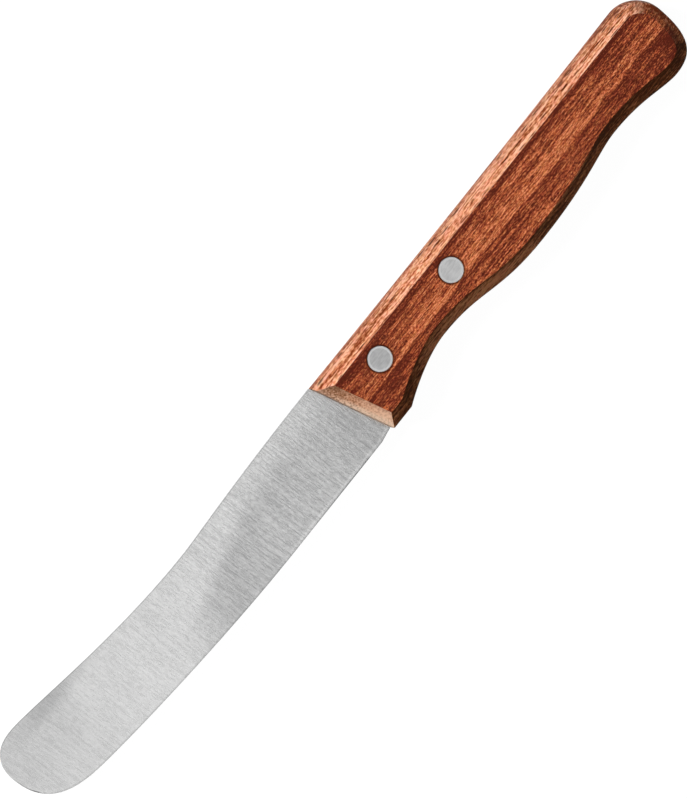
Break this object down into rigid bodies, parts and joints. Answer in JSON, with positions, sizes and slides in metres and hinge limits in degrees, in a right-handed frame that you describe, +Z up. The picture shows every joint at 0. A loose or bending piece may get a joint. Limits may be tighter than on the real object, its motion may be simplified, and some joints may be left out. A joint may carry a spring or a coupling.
{
  "type": "butter knife",
  "caption": "Butter knife with an upswept round tip: a ground steel blade whose half tang is riveted into a blind slot of a contoured, chamfered wooden handle.",
  "frame": {"origin": "on the flat of the handle that the knife rests on, midway between the two rivets", "axes": "+X along the handle towards the butt, +Y towards the back of the blade, +Z up from the resting flat to the face seen in the picture"},
  "size_m": [0.2208, 0.0246, 0.012],
  "materials": {
    "steel": "fine ground lines across the blade",
    "wood": "red-brown stained beech, satin oiled",
    "rivet": "ground flush, satin"
  },
  "bodies": {
    "root": {"blade": "steel", "handle": "wood", "front_rivet_pin": "rivet", "front_rivet_sleeve": "rivet", "rear_rivet_pin": "rivet", "rear_rivet_sleeve": "rivet"}
  },
  "joints": []
}
